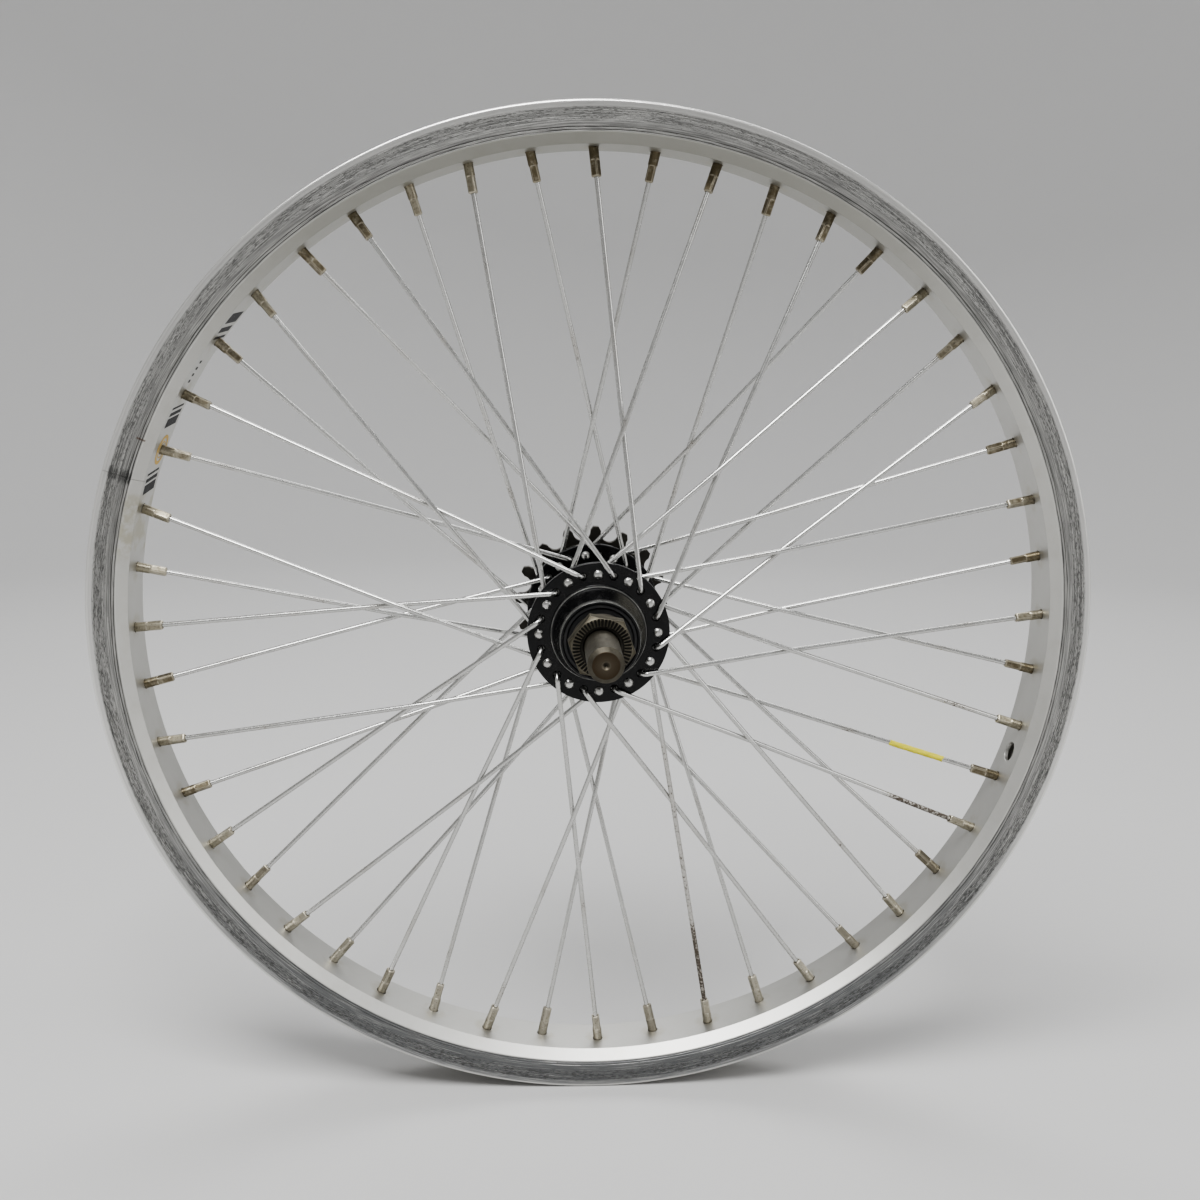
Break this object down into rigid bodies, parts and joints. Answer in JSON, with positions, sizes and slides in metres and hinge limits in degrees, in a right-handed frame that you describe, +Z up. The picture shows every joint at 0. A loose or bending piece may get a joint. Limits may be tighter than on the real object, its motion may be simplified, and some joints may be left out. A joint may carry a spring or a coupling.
{
  "type": "spoked bicycle rear wheel",
  "caption": "Spoked BMX rear wheel without a tyre: box-section rim laced to a flanged hub on a thick solid axle, with a freewheel sprocket on one side.",
  "frame": {"origin": "the wheel's centre, on the axle's axis midway between the locknuts", "axes": "+Z up, the axle along Y with the freewheel on +Y; angles on the wheel are counted from +X towards +Z"},
  "size_m": [0.4194, 0.167, 0.4194],
  "materials": {
    "rim_aluminium": "satin extruded aluminium, brake track worn with dark streaks and a bright lip",
    "hub_black": "gloss black with light scratches and bare bevels",
    "spoke_steel": "drawn stainless steel, slightly dull, spots of rust",
    "nipple_brass": "nickel-plated brass, tarnished",
    "worn_steel": "oxidised brown-grey steel with dirt",
    "freewheel_steel": "dark phosphated steel with grease and bare tooth flanks",
    "bearing_steel": "polished",
    "cage_brass": "satin",
    "black_rubber": "matte",
    "yellow_tape": "matte adhesive tape"
  },
  "bodies": {
    "axle_set": {"axle": "worn_steel", "left_spacer": "worn_steel", "right_spacer": "worn_steel", "left_locknut": "worn_steel", "right_locknut": "worn_steel", "left_inner_race": "bearing_steel", "right_inner_race": "bearing_steel"},
    "wheel": {"rim": "rim_aluminium", "rim_joint_sleeve": "rim_aluminium", "hub_shell": "hub_black", "spokes_left_outer": "spoke_steel", "spokes_left_inner": "spoke_steel", "spokes_right_outer": "spoke_steel", "spokes_right_inner": "spoke_steel", "nipples_left": "nipple_brass", "nipples_right": "nipple_brass", "spoke_tape": "yellow_tape", "left_outer_race": "bearing_steel", "right_outer_race": "bearing_steel", "left_bearing_shields": "black_rubber", "right_bearing_shields": "black_rubber", "left_dust_seal": "black_rubber", "right_dust_seal": "black_rubber", "freewheel_body": "freewheel_steel", "freewheel_cover": "freewheel_steel", "pawl_springs": "bearing_steel"},
    "left_ball_set": {"left_balls": "bearing_steel", "left_cage": "cage_brass"},
    "right_ball_set": {"right_balls": "bearing_steel", "right_cage": "cage_brass"},
    "freewheel_ring": {"freewheel_sprocket": "freewheel_steel"},
    "freewheel_ball_set": {"freewheel_balls_inboard": "bearing_steel", "freewheel_balls_outboard": "bearing_steel"},
    "pawl_front": {"freewheel_pawl_front": "bearing_steel"},
    "pawl_rear": {"freewheel_pawl_rear": "bearing_steel"}
  },
  "joints": [
    {"name": "wheel_spin", "type": "hinge", "parent": "axle_set", "child": "wheel", "pos_m": [0, 0, 0], "axis": [0, 1, 0], "continuous": true},
    {"name": "left_balls_roll", "type": "hinge", "parent": "axle_set", "child": "left_ball_set", "pos_m": [0, -0.0365, 0], "axis": [0, 1, 0], "continuous": true},
    {"name": "right_balls_roll", "type": "hinge", "parent": "axle_set", "child": "right_ball_set", "pos_m": [0, 0.0365, 0], "axis": [0, 1, 0], "continuous": true},
    {"name": "freewheel_spin", "type": "hinge", "parent": "wheel", "child": "freewheel_ring", "pos_m": [0, 0.042, 0], "axis": [0, 1, 0], "continuous": true},
    {"name": "freewheel_balls_roll", "type": "hinge", "parent": "wheel", "child": "freewheel_ball_set", "pos_m": [0, 0.0383, 0], "axis": [0, 1, 0], "continuous": true},
    {"name": "pawl_front_swing", "type": "hinge", "parent": "wheel", "child": "pawl_front", "pos_m": [0.01898, 0.0382, 0.00691], "axis": [0, -1, 0], "range_deg": [0, 10]},
    {"name": "pawl_rear_swing", "type": "hinge", "parent": "wheel", "child": "pawl_rear", "pos_m": [-0.01898, 0.0382, -0.00691], "axis": [0, -1, 0], "range_deg": [0, 10]}
  ],
  "couplings": [
    {"joint": "left_balls_roll", "follows": "wheel_spin", "ratio": 0.5923},
    {"joint": "right_balls_roll", "follows": "wheel_spin", "ratio": 0.5923},
    {"joint": "freewheel_balls_roll", "follows": "freewheel_spin", "ratio": 0.535}
  ]
}
